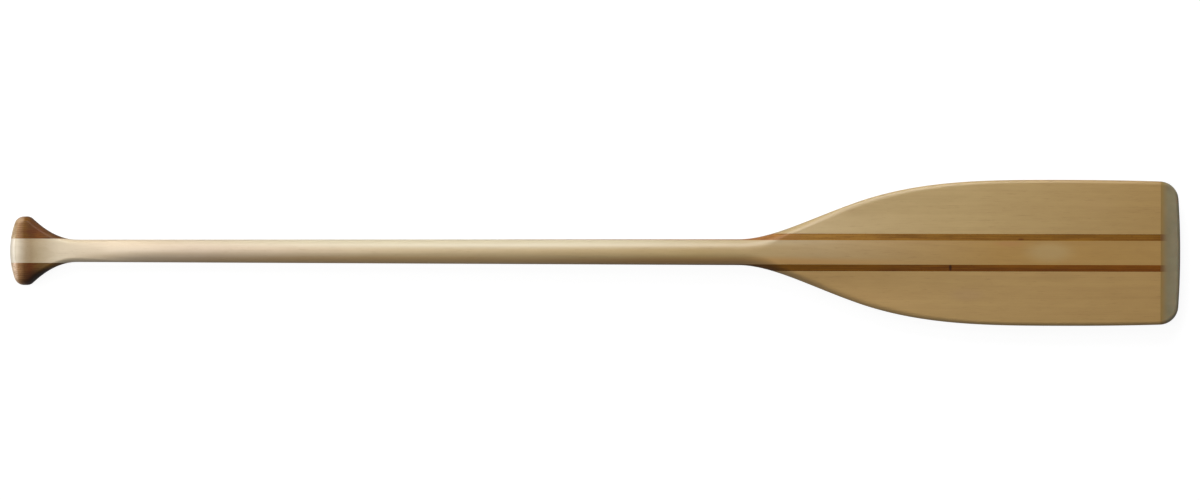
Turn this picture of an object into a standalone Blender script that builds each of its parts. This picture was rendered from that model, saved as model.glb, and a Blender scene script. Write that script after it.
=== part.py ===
"""Laminated wooden canoe paddle, lying on its back with one blade face up.

A straight paddle is glued up as a flat blank and then shaped as one body. Its eight pieces are the
full-length centre board, a dark accent strip along each side of it, a pale wing outside each strip,
a dark cheek on each side of the grip, and a resin guard cast round the tip of the blade.

Each board is the slice of the shaped body between two glue lines. The body itself is given by its
outline, seen from above, and by its height over the middle plane. Distances along the paddle are
measured from the crown of the grip, so +X runs from crown to tip, +Y across and +Z up.
Blender's own origin lies under the middle of the paddle, on the surface that it rests on.
All sizes are in metres.
"""

import math

import bmesh
import bpy
import numpy as np

# Overall
LENGTH = 1.450
GLUE_LINE = 0.0003
SEAT_CLEARANCE = 0.0003

# Grip, seen from above
GRIP_WIDTH = 0.085
CROWN_RADIUS = 0.108
LOBE_FRONT_RADIUS = 0.012
LOBE_FLAT = 0.004
LOBE_BACK_RADIUS = 0.010
FLANK_ANGLE = math.radians(42)
NECK_BLEND = 0.0235

# Grip, seen from the side
GRIP_THICKNESS = 0.038
CROWN_ROUND = 0.0115
NECK_THICKNESS = 0.0195
SCOOP_END = 0.076
NECK_RISE = 0.060
NECK_END = 0.170
FLANK_ROUND = 0.006
FLANK_START = 0.024
RIDGE_FADE = 0.045
RIDGE_END = 0.075
RIDGE_CREASE = 0.13
FACE_CROWN_WIDTH = 0.119
OVAL_START = 0.045

# Shaft
SHAFT_START = 0.098
SHAFT_START_WIDTH = 0.0278
SHAFT_END_WIDTH = 0.0321
SHAFT_THICKNESS = 0.028

# Blade, seen from above
BLADE_LENGTH = 0.545
BLADE_WIDTH = 0.181
SHOULDER_RUN = 0.352
SHOULDER_POWER = 3.25
THROAT_BLEND = 0.046
TIP_TO_WIDEST = 0.140
SIDE_RADIUS = 4.0
END_RADIUS = 1.0
CORNER_RADIUS = 0.0237

# Blade, seen from the side
BLADE_THICKNESS = 0.0092
THROAT_RUN = 0.063
SPINE_RUN = 0.445
SPINE_POWER = 1.6
SPINE_REACH = 0.057
EDGE_ROUND_ROOT = 0.008
EDGE_ROUND_TIP = 0.005
EDGE_ROUND_START = 0.135
EDGE_ROUND_RUN = 0.190

# Boards
CENTRE_BOARD_WIDTH = 0.030
ACCENT_WIDTH = 0.0082
ACCENT_FEATHER = 0.00025

# Tip guard and the tongue that it is cast round
GUARD_LENGTH = 0.025
TONGUE_LENGTH = 0.0086
TONGUE_THICKNESS = 0.004
TONGUE_SIDE_INSET = 0.0045

# How finely the curves are divided
FINE_THROAT_RUN = 0.126
CROWN_STEPS = 8
LOBE_STEPS = 11
FLANK_STEPS = 13
NECK_STEPS = 7
SHAFT_STEPS = 9
THROAT_STEPS = 19
SHOULDER_STEPS = 15
BLADE_STEPS = 6
CORNER_STEPS = 6
END_STEPS = 8
NOSE_RUN = 0.008
NOSE_STEPS = 4
CENTRE_POINTS = 15
ACCENT_POINTS = 6
WING_POINTS = 17
CHEEK_POINTS = 15
GUARD_POINTS = 29
OUTLINE_SEGMENTS = 900
BISECTIONS = 50
STATION_SPACING = 0.0004
ROUND_POINTS_SHARE = 0.5
LEAST_FACE_SHARE = 0.3
WELD_DISTANCE = 1e-6
SMOOTH_ANGLE = math.radians(30)

THROAT_AT = LENGTH - BLADE_LENGTH
WIDEST_AT = LENGTH - TIP_TO_WIDEST
SHOULDER_LINE = LENGTH - GUARD_LENGTH
SHAFT_MIDDLE = (NECK_END + THROAT_AT) / 2
TINY = 1e-9


def ease(start, end, x):
    """Rises from 0 at start to 1 at end, level at both."""
    t = np.clip((x - start) / (end - start), 0, 1)
    return t * t * (3 - 2 * t)


def blended_max(a, b, blend):
    """The higher of two curves, with the corner between them filled where they are within blend."""
    nearness = np.clip(1 - np.abs(a - b) / blend, 0, 1)
    return np.maximum(a, b) + blend * nearness**2 / 4


def quarter_round(distance, radius, crease=0.0):
    """Height share of a rounded edge, from 0 on the outline to 1 at radius inside it.

    Without a crease it meets the face level. The crease is the share of the round that is left out
    there, so that a soft ridge shows between the round and the face.
    """
    inside = np.clip(distance / np.maximum(radius, TINY), 0, 1) * (1 - crease)
    return np.sqrt((1 - (1 - inside) ** 2) / (1 - crease**2))


# Outline, seen from above


def shaft_half_width(x):
    """The shaft widens evenly from the neck to the throat."""
    along = np.clip((x - SHAFT_START) / (THROAT_AT - SHAFT_START), 0, 1)
    return (SHAFT_START_WIDTH + (SHAFT_END_WIDTH - SHAFT_START_WIDTH) * along) / 2


def grip_half_width(x):
    """Crown arc, the lobe's front arc, its flat, its back arc, then the flank that runs into the shaft."""
    front_y = GRIP_WIDTH / 2 - LOBE_FRONT_RADIUS
    front_x = CROWN_RADIUS - math.sqrt((CROWN_RADIUS - LOBE_FRONT_RADIUS) ** 2 - front_y**2)
    crown_end = CROWN_RADIUS - CROWN_RADIUS * (CROWN_RADIUS - front_x) / (CROWN_RADIUS - LOBE_FRONT_RADIUS)
    back_x = front_x + LOBE_FLAT
    back_y = GRIP_WIDTH / 2 - LOBE_BACK_RADIUS
    flank_x = back_x + LOBE_BACK_RADIUS * math.sin(FLANK_ANGLE)
    flank_y = back_y + LOBE_BACK_RADIUS * math.cos(FLANK_ANGLE)
    crown = np.sqrt(np.maximum(x * (2 * CROWN_RADIUS - x), 0))
    front = front_y + np.sqrt(np.maximum(LOBE_FRONT_RADIUS**2 - (x - front_x) ** 2, 0))
    back = back_y + np.sqrt(np.maximum(LOBE_BACK_RADIUS**2 - (x - back_x) ** 2, 0))
    flank = blended_max(flank_y - math.tan(FLANK_ANGLE) * (x - flank_x), shaft_half_width(x), NECK_BLEND)
    stretches = [x < crown_end, x < front_x, x < back_x, x < flank_x]
    return np.select(stretches, [crown, front, GRIP_WIDTH / 2 + 0 * x, back], flank)


def blade_side(x):
    """The long side of the blade: the shoulder's power curve, then a slow arc past the widest place."""
    before = np.maximum(WIDEST_AT - x, 0) / SHOULDER_RUN
    after = np.maximum(x - WIDEST_AT, 0)
    drop = (BLADE_WIDTH - SHAFT_END_WIDTH) / 2 * before**SHOULDER_POWER
    return BLADE_WIDTH / 2 - drop - after**2 / (2 * SIDE_RADIUS)


def corner_centre():
    """Centre of the round between the blade's side and its end arc."""
    x = LENGTH - CORNER_RADIUS
    y = float(blade_side(x)) - CORNER_RADIUS
    return LENGTH - END_RADIUS + math.sqrt((END_RADIUS - CORNER_RADIUS) ** 2 - y**2), y


def half_width(x):
    """Half the paddle's width at distance x from the crown."""
    x = np.asarray(x, float)
    blade = blended_max(blade_side(x), shaft_half_width(x), THROAT_BLEND)
    corner_x, corner_y = corner_centre()
    corner = corner_y + np.sqrt(np.maximum(CORNER_RADIUS**2 - (x - corner_x) ** 2, 0))
    end_centre = LENGTH - END_RADIUS
    tangent_x = end_centre + END_RADIUS * (corner_x - end_centre) / (END_RADIUS - CORNER_RADIUS)
    end = np.sqrt(np.maximum(END_RADIUS**2 - (x - end_centre) ** 2, 0))
    blade = np.where(x > corner_x, np.minimum(blade, corner), blade)
    blade = np.where(x > tangent_x, end, blade)
    return np.where(x < SHAFT_MIDDLE, grip_half_width(x), blade)


def outline_points():
    """Points down the +Y side from crown to tip, closest together where it turns most."""
    turn = np.linspace(0, math.pi / 2, OUTLINE_SEGMENTS // 3)
    crown = GRIP_WIDTH / 2 * (1 - np.cos(turn))
    tip = LENGTH - GUARD_LENGTH * (1 - np.cos(turn))[::-1]
    x = np.concatenate([crown[:-1], np.linspace(crown[-1], tip[0], OUTLINE_SEGMENTS)[:-1], tip])
    return np.stack([x, half_width(x)], axis=1)


def edge_distance(x, y, outline):
    """Distance from points of the plan to the outline, taking both sides of the paddle as alike."""
    start, span = outline[:-1], np.diff(outline, axis=0)
    point = np.stack([x, np.abs(y)], axis=1)[:, None, :]
    share = np.clip(((point - start) * span).sum(2) / (span**2).sum(1), 0, 1)
    return np.linalg.norm(point - start - share[:, :, None] * span, axis=2).min(axis=1)


# Height over the middle plane


def flank_round(x):
    """Radius of the grip's rounded edge: large over the crown, small along the flank, none on the shaft."""
    radius = CROWN_ROUND + (FLANK_ROUND - CROWN_ROUND) * ease(CROWN_ROUND / 2, FLANK_START, x)
    return radius * (1 - ease(RIDGE_END, NECK_END, x))


def grip_height(x, y, distance):
    """Thick rounded crown, a face scooped down to the flat neck, and a ridge along each flank.

    Across the paddle the face is part of a wide oval, which closes in to the shaft's own oval.
    """
    crown_half, neck_half, shaft_half = GRIP_THICKNESS / 2, NECK_THICKNESS / 2, SHAFT_THICKNESS / 2
    down = np.clip((x - CROWN_ROUND) / (SCOOP_END - CROWN_ROUND), 0, 1)
    scoop = 1 - (1 - down) ** 4 * (1 + 4 * down)
    thickness = crown_half + (neck_half - crown_half) * scoop
    thickness = thickness + (shaft_half - neck_half) * ease(NECK_RISE, NECK_END, x)
    closed_in = ease(OVAL_START, NECK_END, x)
    bend = (1 - closed_in) / (FACE_CROWN_WIDTH / 2) ** 2 + closed_in / np.maximum(half_width(x), TINY) ** 2
    face = np.sqrt(np.clip(1 - y**2 * bend, 0, 1))
    crease = RIDGE_CREASE * ease(CROWN_ROUND, FLANK_START, x) * (1 - ease(RIDGE_FADE, RIDGE_END, x))
    return thickness * face * quarter_round(distance, flank_round(x), crease)


def blade_round(x):
    """Radius of the blade's rounded edge, which is half the width while the section is still an oval."""
    opened = ease(THROAT_AT, THROAT_AT + THROAT_RUN, x)
    softened = ease(THROAT_AT + EDGE_ROUND_START, THROAT_AT + EDGE_ROUND_START + EDGE_ROUND_RUN, x)
    radius = EDGE_ROUND_ROOT + (EDGE_ROUND_TIP - EDGE_ROUND_ROOT) * softened
    return half_width(x) + (radius - half_width(x)) * opened


def blade_height(x, y, distance):
    """The shaft's oval opens into a flat face that keeps a low spine, with its edges rounded over."""
    shaft_half, blade_half = SHAFT_THICKNESS / 2, BLADE_THICKNESS / 2
    spine = (shaft_half - blade_half) * (1 - ease(THROAT_AT, THROAT_AT + SPINE_RUN, x)) ** SPINE_POWER
    bell = np.cos(math.pi / 2 * np.clip(np.abs(y) / SPINE_REACH, 0, 1)) ** 2
    opened = ease(THROAT_AT, THROAT_AT + THROAT_RUN, x)
    thickness = blade_half + spine * (1 + (bell - 1) * opened)
    return thickness * quarter_round(distance, blade_round(x))


def height(x, y, outline):
    """Height of the shaped body over its middle plane, 0 on the outline."""
    distance = edge_distance(x, y, outline)
    up = np.where(x < SHAFT_MIDDLE, grip_height(x, y, distance), blade_height(x, y, distance))
    return np.where(np.abs(y) > half_width(x) - TINY, 0, up)


# Stations along the paddle


def rounded_steps(length, steps):
    """Distances from 0 to length, closest together near 0."""
    return length * (1 - np.cos(np.linspace(0, math.pi / 2, steps + 1)))


def stations(first, last, nose=()):
    """The paddle's cross-sections between two distances from the crown, both included.

    The nose holds extra distances where a board's pointed end opens from nothing.
    """
    corner_x, _ = corner_centre()
    rounding_end = LENGTH - EDGE_ROUND_TIP
    places = [
        rounded_steps(CROWN_ROUND, CROWN_STEPS),
        np.linspace(CROWN_ROUND, FLANK_START, LOBE_STEPS),
        np.linspace(FLANK_START, RIDGE_END, FLANK_STEPS),
        np.linspace(RIDGE_END, NECK_END, NECK_STEPS),
        np.linspace(NECK_END, THROAT_AT, SHAFT_STEPS),
        np.linspace(THROAT_AT, THROAT_AT + FINE_THROAT_RUN, THROAT_STEPS),
        np.linspace(THROAT_AT + FINE_THROAT_RUN, WIDEST_AT, SHOULDER_STEPS),
        np.linspace(WIDEST_AT, corner_x, BLADE_STEPS),
        np.linspace(corner_x, rounding_end, CORNER_STEPS),
        LENGTH - rounded_steps(EDGE_ROUND_TIP, END_STEPS),
        nose,
    ]
    inner = np.unique(np.round(np.concatenate(places), 6))
    inner = inner[(inner > first + STATION_SPACING) & (inner < last - STATION_SPACING)]
    return np.concatenate([[first], inner, [last]])


def where_width_reaches(target, low, high):
    """Distance from the crown at which half the width passes target, between low and high."""
    rising = half_width(high) > half_width(low)
    for _ in range(BISECTIONS):
        middle = (low + high) / 2
        if (half_width(middle) > target) == rising:
            high = middle
        else:
            low = middle
    return (low + high) / 2


def face_edge(x, outline):
    """How far from the middle the flat of the face ends and the rounded edge begins."""
    radius = float(flank_round(x) if x < SHAFT_MIDDLE else blade_round(x))
    low, high = 0.0, float(half_width(x))
    for _ in range(BISECTIONS):
        middle = (low + high) / 2
        if edge_distance(np.array([x]), np.array([middle]), outline)[0] > radius:
            low = middle
        else:
            high = middle
    return low


# Pieces


def board_ring(x, inner, outer, points, outline, thickness=None):
    """Section of one board at x, from its inner glue line to its outer one or to the outline.

    A board that crosses the middle has inner = -outer. A board that ends on the outline has one point
    where its face meets its rounded edge. Points lie closest together near the outline.
    With a thickness, the section is the board's flat tongue.
    """
    edge = float(half_width(x))
    outer = min(outer, edge)
    width = max(outer - inner, 0)
    if inner < 0:
        across = outer * np.sin(np.linspace(-math.pi / 2, math.pi / 2, points))
    elif outer < edge or thickness is not None:
        across = np.linspace(inner, inner + width, points)
    else:
        corner = max(face_edge(x, outline), inner + width * LEAST_FACE_SHARE)
        round_points = round(points * ROUND_POINTS_SHARE)
        face = np.linspace(inner, corner, points - round_points, endpoint=False)
        turn = np.linspace(0, math.pi / 2, round_points)
        across = np.concatenate([face, corner + (inner + width - corner) * np.sin(turn)])
    along = np.full(points, x)
    up = height(along, across, outline) if thickness is None else np.full(points, thickness / 2)
    top = np.stack([along, across, up], axis=1)
    bottom = np.stack([along, across, -up], axis=1)[::-1]
    return np.concatenate([top, bottom])


def loft(name, rings, material):
    """One closed body through rings of equal size, capped at both ends."""
    mesh = bpy.data.meshes.new(name)
    shape = bmesh.new()
    loops = [[shape.verts.new(point) for point in ring] for ring in rings]
    for ring, following in zip(loops, loops[1:]):
        for i in range(len(ring)):
            j = (i + 1) % len(ring)
            shape.faces.new((ring[i], ring[j], following[j], following[i]))
    shape.faces.new(reversed(loops[0]))
    shape.faces.new(loops[-1])
    bmesh.ops.remove_doubles(shape, verts=shape.verts, dist=WELD_DISTANCE)
    bmesh.ops.dissolve_degenerate(shape, edges=shape.edges, dist=WELD_DISTANCE / 10)
    bmesh.ops.recalc_face_normals(shape, faces=shape.faces)
    shape.to_mesh(mesh)
    shape.free()
    mesh.shade_smooth()
    mesh.set_sharp_from_angle(angle=SMOOTH_ANGLE)
    mesh.materials.append(material)
    piece = bpy.data.objects.new(name, mesh)
    bpy.context.scene.collection.objects.link(piece)
    return piece


def mirrored(rings):
    """The same rings on the other side of the paddle."""
    return [ring * (1, -1, 1) for ring in rings]


def blade_board_rings(first, inner, outer, points, outline, nose=()):
    """A board that runs into the tip: its sections, the rebate's shoulder and the tongue."""
    places = stations(first, SHOULDER_LINE, nose)
    rings = [board_ring(x, inner, outer, points, outline) for x in places]
    tongue_outer = min(outer, float(half_width(SHOULDER_LINE)) - TONGUE_SIDE_INSET)
    for x in (SHOULDER_LINE, SHOULDER_LINE + TONGUE_LENGTH):
        rings.append(board_ring(x, inner, tongue_outer, points, outline, TONGUE_THICKNESS))
    return rings


def centre_board_rings(outline, accent_start):
    """The full-length board. Up to the accents it fills the whole width of the shaft."""
    half_board = (CENTRE_BOARD_WIDTH - GLUE_LINE) / 2
    cheek_end = where_width_reaches(CENTRE_BOARD_WIDTH / 2, GRIP_WIDTH / 2, NECK_END)
    rings = []
    for ring in blade_board_rings(0, -half_board, half_board, CENTRE_POINTS, outline):
        x = ring[0][0]
        if cheek_end < x < accent_start:
            full = float(half_width(x))
            ring = board_ring(x, -full, full, CENTRE_POINTS, outline)
        rings.append(ring)
    return rings


def accent_rings(outline, accent_start):
    """A dark strip: a feather along the shaft's side, full width from the throat on."""
    inner = (CENTRE_BOARD_WIDTH + GLUE_LINE) / 2
    outer = CENTRE_BOARD_WIDTH / 2 + ACCENT_WIDTH - GLUE_LINE / 2
    return blade_board_rings(accent_start, inner, outer, ACCENT_POINTS, outline)


def wing_rings(outline):
    """A pale board from the accent to the blade's side."""
    inner = CENTRE_BOARD_WIDTH / 2 + ACCENT_WIDTH + GLUE_LINE / 2
    start = where_width_reaches(inner, THROAT_AT, WIDEST_AT)
    nose = start + rounded_steps(NOSE_RUN, NOSE_STEPS)
    return blade_board_rings(start, inner, BLADE_WIDTH, WING_POINTS, outline, nose)


def cheek_rings(outline):
    """A dark block beside the centre board that makes one lobe of the grip."""
    inner = (CENTRE_BOARD_WIDTH + GLUE_LINE) / 2
    start = where_width_reaches(inner, 0, CROWN_ROUND)
    end = where_width_reaches(inner, GRIP_WIDTH / 2, NECK_END)
    places = stations(start, end, end - rounded_steps(NOSE_RUN, NOSE_STEPS))
    return [board_ring(x, inner, GRIP_WIDTH, CHEEK_POINTS, outline) for x in places]


def guard_rings(outline):
    """The resin tip, from its rounded end back to its shoulder and into the pocket for the tongue."""
    shoulder = SHOULDER_LINE + SEAT_CLEARANCE
    width = float(half_width(SHOULDER_LINE))
    rings = [board_ring(x, -width, width, GUARD_POINTS, outline) for x in stations(shoulder, LENGTH)[::-1]]
    pocket_width = width - TONGUE_SIDE_INSET + SEAT_CLEARANCE
    pocket_thickness = TONGUE_THICKNESS + 2 * SEAT_CLEARANCE
    pocket_end = SHOULDER_LINE + TONGUE_LENGTH + SEAT_CLEARANCE
    for x in (shoulder, pocket_end):
        rings.append(board_ring(x, -pocket_width, pocket_width, GUARD_POINTS, outline, pocket_thickness))
    return rings


# Materials


def finish(name, colour, roughness):
    """A plain non-metal finish; the colour is linear red, green and blue."""
    material = bpy.data.materials.new(name)
    material.use_nodes = True
    shader = material.node_tree.nodes["Principled BSDF"]
    shader.inputs["Base Color"].default_value = (*colour, 1)
    shader.inputs["Roughness"].default_value = roughness
    shader.inputs["Metallic"].default_value = 0
    material.diffuse_color = (*colour, 1)
    return material


def build():
    """Makes the eight pieces under one empty that carries them to their resting place."""
    for old in list(bpy.data.objects):
        bpy.data.objects.remove(old)
    basswood = finish("basswood", (0.72, 0.54, 0.32), 0.35)
    walnut = finish("walnut", (0.17, 0.075, 0.022), 0.35)
    resin = finish("resin", (0.20, 0.18, 0.11), 0.3)

    outline = outline_points()
    feather_width = (CENTRE_BOARD_WIDTH + GLUE_LINE) / 2 + ACCENT_FEATHER
    accent_start = where_width_reaches(feather_width, SHAFT_START, THROAT_AT + THROAT_RUN)
    sided = [
        ("accent_strip", accent_rings(outline, accent_start), walnut),
        ("blade_wing", wing_rings(outline), basswood),
        ("grip_cheek", cheek_rings(outline), walnut),
    ]
    pieces = [loft("centre_board", centre_board_rings(outline, accent_start), basswood)]
    for name, rings, material in sided:
        pieces.append(loft(f"{name}_left", rings, material))
        pieces.append(loft(f"{name}_right", mirrored(rings), material))
    pieces.append(loft("tip_guard", guard_rings(outline), resin))

    paddle = bpy.data.objects.new("paddle", None)
    paddle.location = (-LENGTH / 2, 0, GRIP_THICKNESS / 2)
    bpy.context.scene.collection.objects.link(paddle)
    for piece in pieces:
        piece.parent = paddle


build()
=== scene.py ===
"""Looks of a laminated wooden canoe paddle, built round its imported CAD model.

The paddle lies on its back with one blade face up, the grip at -X and the tip at +X. A paddle is
glued up from boards as one blank and then shaped as one body, so here each board is the slice of
one shaped body between two glue lines, cut finely enough to look smooth from close by. Sizes are
in metres. Distances called x are measured along the paddle from the crown of its grip, and place()
moves a finished ring of points to where the CAD model lies.
"""

import logging
import math
from abc import ABC, abstractmethod
from dataclasses import dataclass, field
from enum import Enum

import bmesh
import bpy
import numpy as np
from mathutils import Euler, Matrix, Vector


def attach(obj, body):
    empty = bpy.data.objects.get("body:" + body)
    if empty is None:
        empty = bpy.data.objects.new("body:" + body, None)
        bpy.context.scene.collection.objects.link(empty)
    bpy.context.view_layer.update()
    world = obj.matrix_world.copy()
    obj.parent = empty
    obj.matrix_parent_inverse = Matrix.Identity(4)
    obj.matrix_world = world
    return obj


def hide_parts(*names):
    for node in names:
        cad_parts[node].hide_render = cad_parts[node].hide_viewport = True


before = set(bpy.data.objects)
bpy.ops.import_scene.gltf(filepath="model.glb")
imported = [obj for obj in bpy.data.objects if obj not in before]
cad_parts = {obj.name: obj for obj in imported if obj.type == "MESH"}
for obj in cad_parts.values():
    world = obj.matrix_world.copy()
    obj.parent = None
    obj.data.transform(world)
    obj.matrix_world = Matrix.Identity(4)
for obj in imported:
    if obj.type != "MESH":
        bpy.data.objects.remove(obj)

log = logging.getLogger("paddle")

Numbers = float | np.ndarray
Pair = tuple[float, float]
Tones = tuple[tuple[float, str], ...]
Piece = bpy.types.Object
Tree = bpy.types.NodeTree
Socket = bpy.types.NodeSocket

BODY = "root"
MM = 0.001
TINY = 1e-9
BISECTIONS = 26
WELD_DISTANCE = 2e-6
SMOOTH_ANGLE = math.radians(30)
WHITE = "FFFFFF"


class Side(Enum):
    """Which side of the middle line a piece lies on, with the sign of its Y."""

    LEFT = 1
    RIGHT = -1

    @property
    def word(self) -> str:
        """The side's word in names."""
        return self.name.lower()


def ease(start: float, end: float, x: Numbers) -> Numbers:
    """Rises from 0 at start to 1 at end, level at both.

    Args:
        start: Where the rise begins.
        end: Where the rise is complete.
        x: Distances to look up.

    Returns:
        One share from 0 to 1 for each distance.
    """
    t = np.clip((x - start) / (end - start), 0, 1)
    return t * t * (3 - 2 * t)


def blended_max(a: Numbers, b: Numbers, blend: float) -> Numbers:
    """The higher of two curves, with the corner between them filled.

    Args:
        a: First curve.
        b: Second curve.
        blend: How near in value the two are where the fill begins.

    Returns:
        The filled curve.
    """
    nearness = np.clip(1 - np.abs(a - b) / blend, 0, 1)
    return np.maximum(a, b) + blend * nearness**2 / 4


def quarter_round(distance: np.ndarray, radius: Numbers, crease: Numbers = 0.0) -> np.ndarray:
    """Height share of a rounded edge, from 0 on the outline to 1 at radius inside it.

    Args:
        distance: Distance inside the outline.
        radius: Width of the round.
        crease: Share of the round left out where it meets the face, which leaves a soft ridge there.

    Returns:
        Height shares from 0 to 1.
    """
    inside = np.clip(distance / np.maximum(radius, TINY), 0, 1) * (1 - crease)
    return np.sqrt((1 - (1 - inside) ** 2) / (1 - crease**2))


@dataclass(frozen=True)
class ShapedBody:
    """The whole paddle as it is shaped, before it is told apart into boards.

    The same sizes and curves as the CAD model's, so that each board lies where its node lies. From
    the crown on: the grip's crown and lobes, its scooped faces and flanks, the neck, the oval shaft,
    the throat, the blade's shoulders and spine, its long sides and its corners.
    """

    length: float = 1.450
    grip_width: float = 0.085
    crown_radius: float = 0.108
    lobe_front_radius: float = 0.012
    lobe_flat: float = 0.004
    lobe_back_radius: float = 0.010
    flank_angle: float = math.radians(42)
    neck_blend: float = 0.0235
    grip_thickness: float = 0.038
    crown_round: float = 0.0115
    neck_thickness: float = 0.0195
    scoop_end: float = 0.076
    neck_rise: float = 0.060
    neck_end: float = 0.170
    flank_round_radius: float = 0.006
    flank_start: float = 0.024
    ridge_fade: float = 0.045
    ridge_end: float = 0.075
    ridge_crease: float = 0.13
    face_crown_width: float = 0.119
    oval_start: float = 0.045
    shaft_start: float = 0.098
    shaft_start_width: float = 0.0278
    shaft_end_width: float = 0.0321
    shaft_thickness: float = 0.028
    blade_length: float = 0.545
    blade_width: float = 0.181
    shoulder_run: float = 0.352
    shoulder_power: float = 3.25
    throat_blend: float = 0.046
    tip_to_widest: float = 0.140
    side_radius: float = 4.0
    end_radius: float = 1.0
    corner_radius: float = 0.0237
    blade_thickness: float = 0.0092
    throat_run: float = 0.063
    spine_run: float = 0.445
    spine_power: float = 1.6
    spine_reach: float = 0.057
    edge_round_root: float = 0.008
    edge_round_tip: float = 0.005
    edge_round_start: float = 0.135
    edge_round_run: float = 0.190
    outline_segments: int = 2400
    outline_tip_reach: float = 1.2
    edge_reach: float = 0.030
    outline: np.ndarray = field(init=False, repr=False)

    def __post_init__(self) -> None:
        """Works out the outline that heights are measured from."""
        turn = np.linspace(0, math.pi / 2, self.outline_segments // 3)
        crown = self.grip_width / 2 * (1 - np.cos(turn))
        tip_run = self.corner_radius * self.outline_tip_reach
        tip = self.length - tip_run * (1 - np.cos(turn))[::-1]
        along = np.linspace(crown[-1], tip[0], self.outline_segments)
        x = np.concatenate([crown[:-1], along[:-1], tip])
        object.__setattr__(self, "outline", np.stack([x, self.half_width(x)], axis=1))

    @property
    def throat_at(self) -> float:
        """Where the shaft ends and the blade begins."""
        return self.length - self.blade_length

    @property
    def widest_at(self) -> float:
        """Where the blade is widest."""
        return self.length - self.tip_to_widest

    @property
    def shaft_middle(self) -> float:
        """The middle of the plain shaft, where the grip's curves hand over to the blade's."""
        return (self.neck_end + self.throat_at) / 2

    def shaft_half_width(self, x: Numbers) -> Numbers:
        """Half the shaft's width, which grows evenly from the neck to the throat."""
        along = np.clip((x - self.shaft_start) / (self.throat_at - self.shaft_start), 0, 1)
        return (self.shaft_start_width + (self.shaft_end_width - self.shaft_start_width) * along) / 2

    def grip_half_width(self, x: Numbers) -> Numbers:
        """Crown arc, the lobe's front arc, its flat, its back arc, then the flank down to the shaft.

        Args:
            x: Distances from the crown.

        Returns:
            Half the grip's width at each distance.
        """
        crown_radius = self.crown_radius
        front_radius, back_radius = self.lobe_front_radius, self.lobe_back_radius
        front_y = self.grip_width / 2 - front_radius
        front_x = crown_radius - math.sqrt((crown_radius - front_radius) ** 2 - front_y**2)
        crown_end = crown_radius - crown_radius * (crown_radius - front_x) / (crown_radius - front_radius)
        back_x = front_x + self.lobe_flat
        back_y = self.grip_width / 2 - back_radius
        flank_x = back_x + back_radius * math.sin(self.flank_angle)
        flank_y = back_y + back_radius * math.cos(self.flank_angle)
        crown = np.sqrt(np.maximum(x * (2 * crown_radius - x), 0))
        front = front_y + np.sqrt(np.maximum(front_radius**2 - (x - front_x) ** 2, 0))
        back = back_y + np.sqrt(np.maximum(back_radius**2 - (x - back_x) ** 2, 0))
        straight = flank_y - math.tan(self.flank_angle) * (x - flank_x)
        flank = blended_max(straight, self.shaft_half_width(x), self.neck_blend)
        stretches = [x < crown_end, x < front_x, x < back_x, x < flank_x]
        return np.select(stretches, [crown, front, self.grip_width / 2 + 0 * x, back], flank)

    def blade_side(self, x: Numbers) -> Numbers:
        """The long side of the blade: the shoulder's power curve, then a slow arc past the widest place.

        Args:
            x: Distances from the crown.

        Returns:
            Distance of the side from the middle line at each distance.
        """
        before = np.maximum(self.widest_at - x, 0) / self.shoulder_run
        after = np.maximum(x - self.widest_at, 0)
        drop = (self.blade_width - self.shaft_end_width) / 2 * before**self.shoulder_power
        return self.blade_width / 2 - drop - after**2 / (2 * self.side_radius)

    def corner_centre(self) -> Pair:
        """Centre of the round between the blade's side and its end arc.

        Returns:
            Its distance from the crown and from the middle line.
        """
        y = float(self.blade_side(self.length - self.corner_radius)) - self.corner_radius
        inner = self.end_radius - self.corner_radius
        return self.length - self.end_radius + math.sqrt(inner**2 - y**2), y

    def half_width(self, x: Numbers) -> Numbers:
        """Half the paddle's width.

        Args:
            x: Distances from the crown.

        Returns:
            Half the width at each distance.
        """
        x = np.asarray(x, float)
        blade = blended_max(self.blade_side(x), self.shaft_half_width(x), self.throat_blend)
        corner_x, corner_y = self.corner_centre()
        corner = corner_y + np.sqrt(np.maximum(self.corner_radius**2 - (x - corner_x) ** 2, 0))
        end_centre = self.length - self.end_radius
        reach = self.end_radius * (corner_x - end_centre)
        tangent_x = end_centre + reach / (self.end_radius - self.corner_radius)
        end = np.sqrt(np.maximum(self.end_radius**2 - (x - end_centre) ** 2, 0))
        blade = np.where(x > corner_x, np.minimum(blade, corner), blade)
        blade = np.where(x > tangent_x, end, blade)
        return np.where(x < self.shaft_middle, self.grip_half_width(x), blade)

    def edge_distance(self, x: float, y: np.ndarray) -> np.ndarray:
        """Distance inside the outline along one cross-section, both sides of the paddle taken as alike.

        Only the outline near the section counts, because no rounded edge is wider than edge_reach.

        Args:
            x: Where the section is, from the crown.
            y: Distances from the middle line.

        Returns:
            One distance for each point.
        """
        first, last = np.searchsorted(self.outline[:, 0], (x - self.edge_reach, x + self.edge_reach))
        near = self.outline[max(first - 1, 0) : last + 1]
        start, span = near[:-1], np.diff(near, axis=0)
        point = np.stack([np.full(len(y), x), np.abs(y)], axis=1)[:, None, :]
        share = np.clip(((point - start) * span).sum(2) / (span**2).sum(1), 0, 1)
        return np.linalg.norm(point - start - share[:, :, None] * span, axis=2).min(axis=1)

    def flank_round(self, x: Numbers) -> Numbers:
        """Radius of the grip's rounded edge: large over the crown, small on the flank, none on the shaft.

        Args:
            x: Distances from the crown.

        Returns:
            The radius at each distance.
        """
        smaller = ease(self.crown_round / 2, self.flank_start, x)
        radius = self.crown_round + (self.flank_round_radius - self.crown_round) * smaller
        return radius * (1 - ease(self.ridge_end, self.neck_end, x))

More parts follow.
